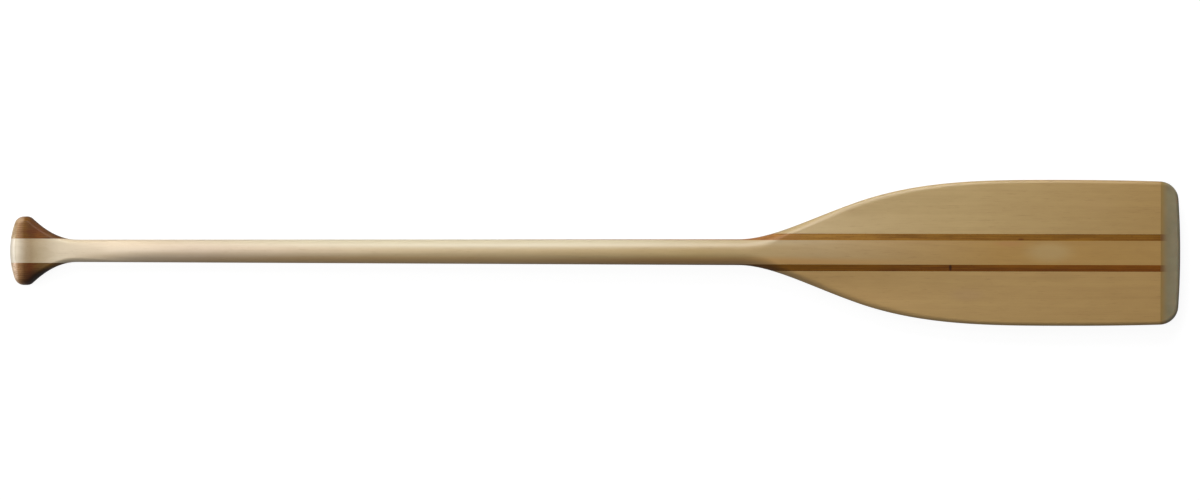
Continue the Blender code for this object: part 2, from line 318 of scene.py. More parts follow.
    def grip_height(self, x: float, y: np.ndarray, distance: np.ndarray) -> np.ndarray:
        """Thick rounded crown, a face scooped down to the flat neck, and a ridge along each flank.

        Across the paddle the face is part of a wide oval, which closes in to the shaft's own oval.

        Args:
            x: Where the section is, from the crown.
            y: Distances from the middle line.
            distance: Distances inside the outline.

        Returns:
            One height over the middle plane for each point.
        """
        crown_half, neck_half = self.grip_thickness / 2, self.neck_thickness / 2
        shaft_half = self.shaft_thickness / 2
        # The scoop starts out level with the crown and reaches the neck without a crease.
        down = np.clip((x - self.crown_round) / (self.scoop_end - self.crown_round), 0, 1)
        scoop = 1 - (1 - down) ** 4 * (1 + 4 * down)
        thickness = crown_half + (neck_half - crown_half) * scoop
        thickness = thickness + (shaft_half - neck_half) * ease(self.neck_rise, self.neck_end, x)
        closed_in = ease(self.oval_start, self.neck_end, x)
        edge = np.maximum(self.half_width(x), TINY)
        bend = (1 - closed_in) / (self.face_crown_width / 2) ** 2 + closed_in / edge**2
        face = np.sqrt(np.clip(1 - y**2 * bend, 0, 1))
        crease = self.ridge_crease * ease(self.crown_round, self.flank_start, x)
        crease = crease * (1 - ease(self.ridge_fade, self.ridge_end, x))
        return thickness * face * quarter_round(distance, self.flank_round(x), crease)

    def blade_round(self, x: Numbers) -> Numbers:
        """Radius of the blade's rounded edge, half the width while the section is still an oval.

        Args:
            x: Distances from the crown.

        Returns:
            The radius at each distance.
        """
        opened = ease(self.throat_at, self.throat_at + self.throat_run, x)
        start = self.throat_at + self.edge_round_start
        softened = ease(start, start + self.edge_round_run, x)
        radius = self.edge_round_root + (self.edge_round_tip - self.edge_round_root) * softened
        edge = self.half_width(x)
        return edge + (radius - edge) * opened

    def blade_height(self, x: float, y: np.ndarray, distance: np.ndarray) -> np.ndarray:
        """The shaft's oval opens into a flat face that keeps a low spine, with its edges rounded over.

        Args:
            x: Where the section is, from the crown.
            y: Distances from the middle line.
            distance: Distances inside the outline.

        Returns:
            One height over the middle plane for each point.
        """
        shaft_half, blade_half = self.shaft_thickness / 2, self.blade_thickness / 2
        fading = 1 - ease(self.throat_at, self.throat_at + self.spine_run, x)
        spine = (shaft_half - blade_half) * fading**self.spine_power
        bell = np.cos(math.pi / 2 * np.clip(np.abs(y) / self.spine_reach, 0, 1)) ** 2
        opened = ease(self.throat_at, self.throat_at + self.throat_run, x)
        thickness = blade_half + spine * (1 + (bell - 1) * opened)
        return thickness * quarter_round(distance, self.blade_round(x))

    def height(self, x: float, y: np.ndarray) -> np.ndarray:
        """Height of the shaped body over its middle plane along one cross-section.

        Args:
            x: Where the section is, from the crown.
            y: Distances from the middle line.

        Returns:
            One height for each point, 0 on the outline.
        """
        distance = self.edge_distance(x, y)
        up = self.grip_height(x, y, distance) if x < self.shaft_middle else self.blade_height(x, y, distance)
        return np.where(np.abs(y) > self.half_width(x) - TINY, 0, up)

    def face_edge(self, x: float) -> float:
        """How far from the middle the face ends and the rounded edge begins.

        Args:
            x: Where the section is, from the crown.

        Returns:
            The distance from the middle line.
        """
        radius = float(self.flank_round(x) if x < self.shaft_middle else self.blade_round(x))
        low, high = 0.0, float(self.half_width(x))
        for _ in range(BISECTIONS):
            middle = (low + high) / 2
            if self.edge_distance(x, np.array([middle]))[0] > radius:
                low = middle
            else:
                high = middle
        return low

    def where_width_reaches(self, target: float, low: float, high: float) -> float:
        """Finds where the paddle becomes wide or narrow enough.

        Args:
            target: Half the width that is looked for.
            low: Distance from the crown before that place.
            high: Distance from the crown beyond it.

        Returns:
            Distance from the crown at which half the width passes target.
        """
        rising = self.half_width(high) > self.half_width(low)
        for _ in range(BISECTIONS):
            middle = (low + high) / 2
            if (self.half_width(middle) > target) == rising:
                high = middle
            else:
                low = middle
        return (low + high) / 2

    def place(self, points: np.ndarray) -> np.ndarray:
        """Moves points from the paddle's own coordinates to where the CAD model lies."""
        return points + np.array([-self.length / 2, 0, self.grip_thickness / 2])


@dataclass(frozen=True)
class Slicer:
    """Cuts boards out of the shaped body as closed meshes of fine rings.

    The steps are the numbers of sections in each stretch, closest together where the form turns.
    """

    body: ShapedBody
    crown_steps: int = 22
    lobe_steps: int = 20
    flank_steps: int = 44
    neck_steps: int = 30
    shaft_steps: int = 110
    throat_steps: int = 76
    shoulder_steps: int = 96
    blade_steps: int = 40
    corner_steps: int = 26
    end_steps: int = 14
    nose_steps: int = 12
    nose_run: float = 0.012
    fine_throat_run: float = 0.126
    station_spacing: float = 0.00012
    round_points_share: float = 0.5
    least_face_share: float = 0.3
    station_digits: int = 6

    @staticmethod
    def rounded_steps(length: float, steps: int) -> np.ndarray:
        """Distances from 0 to length, closest together near 0."""
        return length * (1 - np.cos(np.linspace(0, math.pi / 2, steps + 1)))

    def stations(self, first: float, last: float, nose: np.ndarray | tuple[()] = ()) -> np.ndarray:
        """The cross-sections between two distances from the crown, both included.

        Args:
            first: Where the piece begins.
            last: Where the piece ends.
            nose: Extra distances where a board's pointed end opens from nothing.

        Returns:
            Rising distances from the crown.
        """
        body = self.body
        corner_x, _ = body.corner_centre()
        throat, fine_end = body.throat_at, body.throat_at + self.fine_throat_run
        places = [
            self.rounded_steps(body.crown_round, self.crown_steps),
            np.linspace(body.crown_round, body.flank_start, self.lobe_steps),
            np.linspace(body.flank_start, body.ridge_end, self.flank_steps),
            np.linspace(body.ridge_end, body.neck_end, self.neck_steps),
            np.linspace(body.neck_end, throat, self.shaft_steps),
            np.linspace(throat, fine_end, self.throat_steps),
            np.linspace(fine_end, body.widest_at, self.shoulder_steps),
            np.linspace(body.widest_at, corner_x, self.blade_steps),
            np.linspace(corner_x, body.length - body.edge_round_tip, self.corner_steps),
            body.length - self.rounded_steps(body.edge_round_tip, self.end_steps),
            nose,
        ]
        inner = np.unique(np.round(np.concatenate(places), self.station_digits))
        inner = inner[(inner > first + self.station_spacing) & (inner < last - self.station_spacing)]
        return np.concatenate([[first], inner, [last]])

    def nose(self, tip: float, towards: int) -> np.ndarray:
        """Distances that close up towards a board's pointed end, on the side given by 1 or -1."""
        return tip + towards * self.rounded_steps(self.nose_run, self.nose_steps)

    def ring(
        self, x: float, inner: float, outer: float, points: int, thickness: float | None = None
    ) -> np.ndarray:
        """Section of one board.

        Args:
            x: Where the section is, from the crown.
            inner: The board's inner glue line. A board that crosses the middle has -outer here.
            outer: Its outer glue line, or anything beyond the outline.
            points: How many points the upper surface has.
            thickness: Given for a board's flat tongue, and for the pocket that it seats in.

        Returns:
            A closed ring of points, the upper surface first.
        """
        edge = float(self.body.half_width(x))
        outer = min(outer, edge)
        width = max(outer - inner, 0)
        if inner < 0:
            across = outer * np.sin(np.linspace(-math.pi / 2, math.pi / 2, points))
        elif outer < edge or thickness is not None:
            across = np.linspace(inner, inner + width, points)
        else:
            corner = max(self.body.face_edge(x), inner + width * self.least_face_share)
            round_points = round(points * self.round_points_share)
            face = np.linspace(inner, corner, points - round_points, endpoint=False)
            turn = np.linspace(0, math.pi / 2, round_points)
            across = np.concatenate([face, corner + (inner + width - corner) * np.sin(turn)])
        along = np.full(points, x)
        up = self.body.height(x, across) if thickness is None else np.full(points, thickness / 2)
        top = np.stack([along, across, up], axis=1)
        bottom = np.stack([along, across, -up], axis=1)[::-1]
        return np.concatenate([top, bottom])

    def loft(self, name: str, rings: list[np.ndarray], side: Side = Side.LEFT) -> Piece:
        """One closed body through rings of equal size, capped at both ends.

        Args:
            name: Name of the piece.
            rings: Rings of points in the paddle's own coordinates.
            side: RIGHT mirrors the rings across the middle line.

        Returns:
            The piece, in its place.
        """
        count = len(rings[0])
        points = np.concatenate(rings) * (1, side.value, 1)
        index = np.arange(len(rings) * count).reshape(len(rings), count)
        ahead = np.roll(index, -1, axis=1)
        quads = np.stack([index[:-1], ahead[:-1], ahead[1:], index[1:]], axis=2).reshape(-1, 4)
        caps = [index[0][::-1].tolist(), index[-1].tolist()]
        mesh = bpy.data.meshes.new(name)
        mesh.from_pydata(self.body.place(points).tolist(), [], quads.tolist() + caps)
        shape = bmesh.new()
        shape.from_mesh(mesh)
        bmesh.ops.remove_doubles(shape, verts=shape.verts, dist=WELD_DISTANCE)
        bmesh.ops.dissolve_degenerate(shape, edges=shape.edges, dist=WELD_DISTANCE / 10)
        bmesh.ops.recalc_face_normals(shape, faces=shape.faces)
        shape.to_mesh(mesh)
        shape.free()
        mesh.shade_smooth()
        mesh.set_sharp_from_angle(angle=SMOOTH_ANGLE)
        piece = bpy.data.objects.new(name, mesh)
        bpy.context.scene.collection.objects.link(piece)
        return piece


def linear_colour(hex_colour: str) -> tuple[float, float, float, float]:
    """Turns an sRGB hex colour to linear light.

    Args:
        hex_colour: Six hex digits, such as "C8AE82".

    Returns:
        Linear red, green, blue and an alpha of 1.
    """
    values = [int(hex_colour[i : i + 2], 16) / 255 for i in (0, 2, 4)]
    linear = [v / 12.92 if v <= 0.04045 else ((v + 0.055) / 1.055) ** 2.4 for v in values]
    return (*linear, 1.0)


def add_node(tree: Tree, kind: str, inputs: dict | None = None, **settings: object) -> bpy.types.Node:
    """Adds one node.

    Args:
        tree: Node tree that the node goes into.
        kind: Blender's name of the node type, without its ShaderNode prefix.
        inputs: By the name or number of an input, the socket that feeds it or a value of its own.
        settings: The node's other settings by name.

    Returns:
        The new node.
    """
    node = tree.nodes.new("ShaderNode" + kind)
    for name, value in settings.items():
        setattr(node, name, value)
    for key, value in (inputs or {}).items():
        if isinstance(value, Socket):
            tree.links.new(value, node.inputs[key])
        else:
            node.inputs[key].default_value = value
    return node


def fresh_material(name: str) -> tuple[bpy.types.Material, Tree]:
    """Makes an empty node material.

    Args:
        name: The material's name.

    Returns:
        The material and its tree.
    """
    material = bpy.data.materials.new(name)
    material.use_nodes = True
    material.node_tree.nodes.clear()
    return material, material.node_tree


@dataclass(frozen=True)
class Grain:
    """Noise drawn out along the fibres: how long and wide its features are, and how far they show."""

    along: float
    across: float
    contrast: float
    detail: float = 3.0
    detail_roughness: float = 0.55

    def noise(self, tree: Tree, place: Socket, shift: float) -> Socket:
        """Adds the noise.

        Args:
            tree: Material's node tree.
            place: Position in metres.
            shift: Offset that tells this noise from the next.

        Returns:
            A value round 0.5.
        """
        scale = (1 / self.along, 1 / self.across, 1 / self.across)
        inputs = {"Vector": place, "Location": (shift, -shift, shift), "Scale": scale}
        moved = add_node(tree, "Mapping", inputs)
        inputs = {"Vector": moved.outputs[0], "Scale": 1.0}
        inputs.update({"Detail": self.detail, "Roughness": self.detail_roughness})
        return add_node(tree, "TexNoise", inputs).outputs[0]


@dataclass(frozen=True)
class Mark:
    """A mark in a board: an oval patch of another tone, full within its core and soft outside.

    A small dark one is a pin knot and a wide pale one is figured wood. A pale one along an edge or
    on a corner is a painted highlight, and a warm or dark one along an edge or flank is painted shade.
    """

    place: Pair
    size: Pair
    tone: str
    strength: float
    core: float = 0.3

    def over(self, tree: Tree, place: Socket, colour: Socket) -> Socket:
        """Lays the mark over a colour.

        Args:
            tree: Material's node tree.
            place: Position in metres.
            colour: The board's colour without the mark.

        Returns:
            The colour with the mark.
        """
        scale = (2 / self.size[0], 2 / self.size[1], 0)
        shift = (-self.place[0] * scale[0], -self.place[1] * scale[1], 0)
        moved = add_node(tree, "Mapping", {"Vector": place, "Location": shift, "Scale": scale})
        reach = add_node(tree, "VectorMath", {0: moved.outputs[0]}, operation="LENGTH").outputs["Value"]
        # The oval's rim lies at a reach of 1.
        inputs = {"Value": reach, "From Min": 1.0, "From Max": self.core, "To Max": self.strength}
        share = add_node(tree, "MapRange", inputs, interpolation_type="SMOOTHSTEP")
        inputs = {0: share.outputs[0], 6: colour, 7: linear_colour(self.tone)}
        return add_node(tree, "Mix", inputs, data_type="RGBA").outputs[2]


@dataclass(frozen=True)
class Look:
    """What tells one board from the next: its tones at places along X and its marks, some of them painted
    light and shade.
    """

    tones: Tones
    marks: tuple[Mark, ...] = ()


@dataclass(frozen=True)
class Wood:
    """Straight-grained wood under clear varnish: what a planed, sanded and varnished board shows.

    The pattern is solid, so growth rings that run as lines along a face turn to arcs on end grain,
    and the surface darkens where it cuts across the fibres, because end grain drinks varnish.

    The board's name, look and seed set it apart from its neighbours. Its pith is where the tree's
    middle lay beside the board, across and up, and its lean is how far, in radians, the grain runs
    off its length.
    """

    board: str
    look: Look
    seed: float
    pith: Pair
    lean: Pair
    species: str
    dark_grain: str
    grains: tuple[Grain, ...]
    pores: Grain
    ring_width: float
    ring_contrast: float
    own_tone: float = 0.5
    noise_mean: float = 0.5
    ring_mean: float = 0.32
    ring_sharpness: float = 2.2
    ring_stretch: float = 20.0
    ring_waver: float = 2.2
    waver_detail: float = 2.0
    waver_scale: float = 0.25
    waver_roughness: float = 0.5
    pore_start: float = 0.60
    pore_full: float = 0.70
    pore_mean: float = 0.1
    pore_shift: float = -5.3
    grain_shift: float = 3.1
    end_grain: float = 0.85
    ior: float = 1.5
    roughness: float = 0.42
    roughness_spread: float = 0.05
    specular: float = 0.5
    varnish: float = 1.0
    varnish_ior: float = 1.55
    varnish_roughness: float = 0.42
    relief: float = 0.6
    relief_depth: float = 0.03 * MM

    def growth_rings(self, tree: Tree, place: Socket) -> Socket:
        """Rings round a pith beside the board, each pale at first and darkest at its late edge.

        Args:
            tree: Material's node tree.
            place: Position in metres.

        Returns:
            A value that rises from 0 to 1 across each ring.
        """
        inputs = {
            "Vector": place,
            "Location": (self.seed, *self.pith),
            "Rotation": (0, *self.lean),
            "Scale": (1 / self.ring_stretch, 1, 1),
        }
        turned = add_node(tree, "Mapping", inputs)
        # At a scale of 1 the wave repeats after pi / 10.
        inputs = {
            "Vector": turned.outputs[0],
            "Scale": math.pi / 10 / self.ring_width,
            "Distortion": self.ring_waver,
            "Detail": self.waver_detail,
            "Detail Scale": self.waver_scale,
            "Detail Roughness": self.waver_roughness,
        }
        kind = {"wave_type": "RINGS", "rings_direction": "X", "wave_profile": "SAW"}
        rings = add_node(tree, "TexWave", inputs, **kind)
        inputs = {0: rings.outputs["Fac"], 1: self.ring_sharpness}
        return add_node(tree, "Math", inputs, operation="POWER").outputs[0]

    def darkness(self, tree: Tree, place: Socket) -> Socket:
        """Adds up rings, pores and grain.

        Args:
            tree: Material's node tree.
            place: Position in metres.

        Returns:
            0 where the wood is palest, 1 where it is darkest and own_tone where it has its own tone.
        """
        pores = self.pores.noise(tree, place, self.seed + self.pore_shift)
        inputs = {"Value": pores, "From Min": self.pore_start, "From Max": self.pore_full}
        pits = add_node(tree, "MapRange", inputs)
        layers = [
            (self.growth_rings(tree, place), self.ring_mean, self.ring_contrast),
            (pits.outputs[0], self.pore_mean, self.pores.contrast),
        ]
        for index, grain in enumerate(self.grains):
            shift = self.seed + self.grain_shift * index
            layers.append((grain.noise(tree, place, shift), self.noise_mean, grain.contrast))
        total = self.own_tone
        for value, mean, contrast in layers:
            offset = add_node(tree, "Math", {0: value, 1: mean}, operation="SUBTRACT")
            inputs = {0: offset.outputs[0], 1: contrast, 2: total}
            total = add_node(tree, "Math", inputs, operation="MULTIPLY_ADD").outputs[0]
        return add_node(tree, "Clamp", {"Value": total}).outputs[0]

    def colour_along(self, tree: Tree, place: Socket) -> Socket:
        """The board's tone, which changes slowly along its length and carries some painted light and shade.

        Args:
            tree: Material's node tree.
            place: Position in metres.

        Returns:
            The tone.
        """
        tones = self.look.tones
        first, last = tones[0][0], tones[-1][0]
        split = add_node(tree, "SeparateXYZ", {0: place})
        inputs = {"Value": split.outputs["X"], "From Min": first, "From Max": last}
        ramp = add_node(tree, "ValToRGB", {0: add_node(tree, "MapRange", inputs).outputs[0]})
        stops = ramp.color_ramp.elements
        stops[0].color = linear_colour(tones[0][1])
        stops[1].color = linear_colour(tones[-1][1])
        for at, colour in tones[1:-1]:
            stops.new((at - first) / (last - first)).color = linear_colour(colour)
        return ramp.outputs[0]

    def end_grain_shade(self, tree: Tree) -> Socket:
        """How much the wood darkens where its surface cuts across the fibres.

        Args:
            tree: Material's node tree.

        Returns:
            1 on a face along the fibres, falling to end_grain on one straight across them.
        """
        across = add_node(tree, "SeparateXYZ", {0: add_node(tree, "TexCoord").outputs["Normal"]})
        facing = add_node(tree, "Math", {0: across.outputs["X"]}, operation="ABSOLUTE")
        inputs = {"Value": facing.outputs[0], "To Min": 1.0, "To Max": self.end_grain}
        return add_node(tree, "MapRange", inputs).outputs[0]

    def material(self) -> bpy.types.Material:
        """Builds the wood's material.

        Returns:
            The material, with its colour, gloss and relief worked out from the grain.
        """
        material, tree = fresh_material(f"varnished_{self.species}_{self.board}")
        place = add_node(tree, "TexCoord").outputs["Object"]
        darkness = self.darkness(tree, place)
        # The palest grain lies as far above the board's own tone as the darkest lies below it.
        dark = linear_colour(self.dark_grain)
        pale = tuple(2 - value for value in dark[:3]) + (1.0,)
        colour = add_node(tree, "Mix", {0: darkness, 6: pale, 7: dark}, data_type="RGBA").outputs[2]
        for shade in (self.colour_along(tree, place), self.end_grain_shade(tree)):
            inputs = {0: 1.0, 6: colour, 7: shade}
            colour = add_node(tree, "Mix", inputs, data_type="RGBA", blend_type="MULTIPLY").outputs[2]
        for mark in self.look.marks:
            colour = mark.over(tree, place, colour)
        smooth, rough = self.roughness - self.roughness_spread, self.roughness + self.roughness_spread
        gloss = add_node(tree, "MapRange", {"Value": darkness, "To Min": smooth, "To Max": rough})
        inputs = {"Height": darkness, "Strength": self.relief, "Distance": self.relief_depth}
        relief = add_node(tree, "Bump", inputs, invert=True)
        inputs = {
            "Base Color": colour,
            "Roughness": gloss.outputs[0],
            "Normal": relief.outputs[0],
            "Metallic": 0.0,
            "IOR": self.ior,
            "Specular IOR Level": self.specular,
            "Coat Weight": self.varnish,
            "Coat Roughness": self.varnish_roughness,
            "Coat IOR": self.varnish_ior,
        }
        shader = add_node(tree, "BsdfPrincipled", inputs)
        add_node(tree, "OutputMaterial", {"Surface": shader.outputs[0]})
        return material


@dataclass(frozen=True)
class Basswood(Wood):
    """Basswood, planed, sanded and varnished to a satin sheen.

    It gives the eye a pale, even board: faint straight grain, soft clouds that can barely be made
    out, and a tone that is cream towards the grip and honey on the blade, partly painted light. Its
    real pores are under 0.1 mm wide and would not show, so they are drawn as 1 mm flecks.
    """

    species: str = "basswood"
    dark_grain: str = "EAE4D9"
    grains: tuple[Grain, ...] = (
        # Fibre streaks, long bands a few rings wide, and soft clouds.
        Grain(110 * MM, 1.5 * MM, 0.3),
        Grain(300 * MM, 12 * MM, 0.45),
        Grain(35 * MM, 9 * MM, 0.45),
    )
    pores: Grain = Grain(14 * MM, 1.0 * MM, 0.35)
    ring_width: float = 3.4 * MM
    ring_contrast: float = 0.1


@dataclass(frozen=True)
class Walnut(Wood):
    """Walnut, planed, sanded and thinly varnished, because its open pores drink much of the coat.

    It gives the eye a warm dark brown with darker streaks and short open pores. Its real pores are
    about 0.2 mm wide and would not show, so they are drawn a little over twice as wide.
    """

    species: str = "walnut"
    dark_grain: str = "CDBEA8"
    grains: tuple[Grain, ...] = (
        # Fibre streaks, long dark bands a few rings wide, and short uneven stripes.
        Grain(110 * MM, 1.5 * MM, 1.0),
        Grain(300 * MM, 9 * MM, 1.2),
        Grain(35 * MM, 4 * MM, 1.0),
    )
    pores: Grain = Grain(5 * MM, 0.45 * MM, 0.8)
    ring_width: float = 2.6 * MM
    ring_contrast: float = 0.4
    specular: float = 0.12
    varnish: float = 0.4
    varnish_roughness: float = 0.40


@dataclass(frozen=True)
class CastResin:
    """Epoxy resin, cast over the blade's end and sanded: dense, grey-green and a little see-through.

    It gives the eye a smooth, slightly cloudy rim. Over the blade's tongue the wood and the dark
    strips still show through it, and fade out towards the tip. Its sanding scratches are under
    0.1 mm wide and would not show, so they are drawn as specks of 0.8 mm.
    """

    name: str = "cast_epoxy_resin"
    resin: str = "8F8365"
    thin_resin: str = "988D71"
    wood: str = "9E7F47"
    strip: str = "7C5221"
    lap_start: float = 0.7000
    lap_end: float = 0.7105
    edge: float = 0.7225
    strip_inner: float = 15 * MM
    strip_outer: float = 23.2 * MM
    cloud_size: float = 14 * MM
    cloud_detail: float = 3.0
    cloud_reach: Pair = (0.3, 0.7)
    cloud_shades: Pair = (0.90, 1.08)
    speck_size: float = 0.8 * MM
    speck_detail: float = 1.0
    roughness: Pair = (0.26, 0.42)
    relief: float = 0.3
    relief_depth: float = 0.02 * MM
    ior: float = 1.55
    glow_through: float = 0.25
    glow_depth: float = 2 * MM
    polish: float = 0.3
    polish_roughness: float = 0.2

    def wood_beneath(self, tree: Tree, sideways: Socket) -> Socket:
        """Colour of the boards' ends under the resin.

        Args:
            tree: Material's node tree.
            sideways: Place across the blade, in metres.

        Returns:
            The strip's colour under the strips and the wood's elsewhere.
        """
        aside = add_node(tree, "Math", {0: sideways}, operation="ABSOLUTE")
        middle = (self.strip_inner + self.strip_outer) / 2
        reach = (self.strip_outer - self.strip_inner) / 2
        in_strip = add_node(tree, "Math", {0: aside.outputs[0], 1: middle, 2: reach}, operation="COMPARE")
        inputs = {0: in_strip.outputs[0], 6: linear_colour(self.wood), 7: linear_colour(self.strip)}
        return add_node(tree, "Mix", inputs, data_type="RGBA").outputs[2]

    def cloudy_resin(self, tree: Tree, place: Socket, along: Socket) -> Socket:
        """Colour of the resin itself, paler where it thins towards the edge.

        Args:
            tree: Material's node tree.
            place: Position in metres.
            along: Place along the paddle, in metres.

        Returns:
            The colour.
        """
        inputs = {"Vector": place, "Scale": 1 / self.cloud_size, "Detail": self.cloud_detail}
        clouds = add_node(tree, "TexNoise", inputs)
        (low, high), (dim, bright) = self.cloud_reach, self.cloud_shades
        inputs = {"From Min": low, "From Max": high, "To Min": dim, "To Max": bright}
        shade = add_node(tree, "MapRange", {"Value": clouds.outputs[0], **inputs})
        thin = add_node(tree, "MapRange", {"Value": along, "From Min": self.lap_end, "From Max": self.edge})
        inputs = {0: thin.outputs[0], 6: linear_colour(self.resin), 7: linear_colour(self.thin_resin)}
        resin = add_node(tree, "Mix", inputs, data_type="RGBA").outputs[2]
        inputs = {0: 1.0, 6: resin, 7: shade.outputs[0]}
        return add_node(tree, "Mix", inputs, data_type="RGBA", blend_type="MULTIPLY").outputs[2]

    def material(self) -> bpy.types.Material:
        """Builds the resin's material.

        Returns:
            The material, with the wood that shows through at its shoulder.
        """
        material, tree = fresh_material(self.name)
        place = add_node(tree, "TexCoord").outputs["Object"]
        split = add_node(tree, "SeparateXYZ", {0: place}).outputs
        inputs = {"From Min": self.lap_start, "From Max": self.lap_end, "To Min": 1.0, "To Max": 0.0}
        inputs["Value"] = split["X"]
        through = add_node(tree, "MapRange", inputs, interpolation_type="SMOOTHSTEP").outputs[0]
        resin, wood = self.cloudy_resin(tree, place, split["X"]), self.wood_beneath(tree, split["Y"])
        colour = add_node(tree, "Mix", {0: through, 6: resin, 7: wood}, data_type="RGBA")
        inputs = {"Vector": place, "Scale": 1 / self.speck_size, "Detail": self.speck_detail}
        specks = add_node(tree, "TexNoise", inputs).outputs[0]
        smooth, rough = self.roughness
        gloss = add_node(tree, "MapRange", {"Value": specks, "To Min": smooth, "To Max": rough})
        inputs = {"Height": specks, "Strength": self.relief, "Distance": self.relief_depth}
        relief = add_node(tree, "Bump", inputs)
        inputs = {
            "Base Color": colour.outputs[2],
            "Roughness": gloss.outputs[0],
            "Normal": relief.outputs[0],
            "Metallic": 0.0,
            "IOR": self.ior,
            "Subsurface Weight": self.glow_through,
            "Subsurface Scale": self.glow_depth,
            "Coat Weight": self.polish,
            "Coat Roughness": self.polish_roughness,
        }
        shader = add_node(tree, "BsdfPrincipled", inputs)
        add_node(tree, "OutputMaterial", {"Surface": shader.outputs[0]})
        return material


def dress(piece: Piece, node: str, material: bpy.types.Material) -> None:
    """Gives a piece its finish and ties it to the CAD model.

    Args:
        piece: The finished piece.
        node: CAD node that the piece stands for.
        material: Its finish.
    """
    piece.data.materials.append(material)
    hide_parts(node)
    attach(piece, BODY)
    log.info("%s: %d faces in %s", piece.name, len(piece.data.polygons), material.name)


@dataclass(frozen=True)
class Blank:
    """Where the glue lines of the blank run, and where the resin tip begins.

    The seam is the hairline that parts neighbouring boards, and the seat clearance is the one that
    parts the boards' tongue from its pocket in the resin.
    """

    centre_width: float = 0.030
    accent_width: float = 0.0082
    accent_feather: float = 0.00025
    guard_length: float = 0.025
    tongue_length: float = 0.0086
    tongue_thickness: float = 0.004
    tongue_side_inset: float = 0.0045
    seat_clearance: float = 0.0001
    seam: float = 0.00002

    @property
    def centre_edge(self) -> float:
        """Glue line between the centre board and what lies beside it."""
        return self.centre_width / 2

    @property
    def accent_edge(self) -> float:
        """Glue line between an accent strip and its wing."""
        return self.centre_width / 2 + self.accent_width

    def shoulder_line(self, body: ShapedBody) -> float:
        """Where the wood ends and the resin begins."""
        return body.length - self.guard_length

    def accent_start(self, body: ShapedBody) -> float:
        """Where the shaft becomes wide enough to keep a feather of the accent strips."""
        reach = self.centre_edge + self.accent_feather
        return body.where_width_reaches(reach, body.shaft_start, body.throat_at + body.throat_run)

    def into_tip(
        self,
        slicer: Slicer,
        first: float,
        inner: float,
        outer: float,
        points: int,
        nose: np.ndarray | tuple[()] = (),
    ) -> list[np.ndarray]:
        """Rings of a board that runs into the tip: its sections, the rebate's shoulder and the tongue.

        Args:
            slicer: What cuts the sections.
            first: Where the board begins.
            inner: Its inner glue line.
            outer: Its outer glue line.
            points: Points across its upper surface.
            nose: Extra sections at its pointed end.

        Returns:
            The board's rings, from the grip's end to the tip's.
        """
        shoulder = self.shoulder_line(slicer.body)
        rings = [slicer.ring(x, inner, outer, points) for x in slicer.stations(first, shoulder, nose)]
        tongue_outer = min(outer, float(slicer.body.half_width(shoulder)) - self.tongue_side_inset)
        for x in (shoulder, shoulder + self.tongue_length):
            rings.append(slicer.ring(x, inner, tongue_outer, points, self.tongue_thickness))
        return rings


@dataclass(frozen=True)
class CentreBoard:
    """The pale board that runs the whole length, and makes up the shaft by itself."""

    points: int = 41
    seed: float = 1.7
    pith: Pair = (0.004, -0.060)
    lean: Pair = (0.016, 0.005)
    look: Look = Look(
        # Paler towards the grip than on the blade, partly painted light, and darker round -0.700, where
        # painted shade fills the grip's scoop.
        tones=(
            (-0.725, "F0E5D0"),
            (-0.713, "DCCCB0"),
            (-0.700, "A58A64"),
            (-0.690, "BCA681"),
            (-0.664, "D4C1A0"),
            (-0.600, "DEC8A8"),
            (-0.490, "CBB395"),
            (-0.242, "C4AC82"),
            (0.130, "AF935F"),
            (0.280, "B29566"),
            (0.500, "AE8644"),
            (0.700, "B18948"),
        ),
        marks=(
            # Painted highlight: a pale cream band along the left edge, over most of the length.
            Mark((-0.170, 0.0135), (1.050, 0.026), "CCC3A7", 0.70),
            # Painted shade along the right edge, which faces away from the lamps: a warmer, deeper tone,
            # darker on the blade than on the shaft.
            Mark((-0.250, -0.013), (0.800, 0.020), "D2AA6E", 0.75),
            Mark((0.170, -0.013), (0.600, 0.020), "B98A48", 0.75),
            # Figured wood on the blade, and a brown streak nearer the throat.
            Mark((0.562, 0.001), (0.080, 0.034), "C0A878", 0.40),
            Mark((0.512, 0.011), (0.050, 0.010), "B07C46", 0.5),
        ),
    )

    def build(self, slicer: Slicer, blank: Blank) -> Piece:
        """Builds the board.

        Args:
            slicer: What cuts the sections.
            blank: Where the glue lines run.

        Returns:
            The board in its place.
        """
        body, half_board = slicer.body, blank.centre_edge - blank.seam / 2
        cheek_end = body.where_width_reaches(blank.centre_edge, body.grip_width / 2, body.neck_end)
        accent_start = blank.accent_start(body)
        rings = []
        for ring in blank.into_tip(slicer, 0.0, -half_board, half_board, self.points):
            x = ring[0][0]
            # With no neighbour beside it, the board is as wide as the shaft.
            if cheek_end < x < accent_start:
                full = float(body.half_width(x))
                ring = slicer.ring(x, -full, full, self.points)
            rings.append(ring)
        return slicer.loft("pale_centre_board", rings)

    def dress(self, board: Piece) -> None:
        """Gives the board its basswood, and ties it to its node."""
        finish = Basswood("centre", self.look, self.seed, self.pith, self.lean)
        dress(board, "centre_board", finish.material())


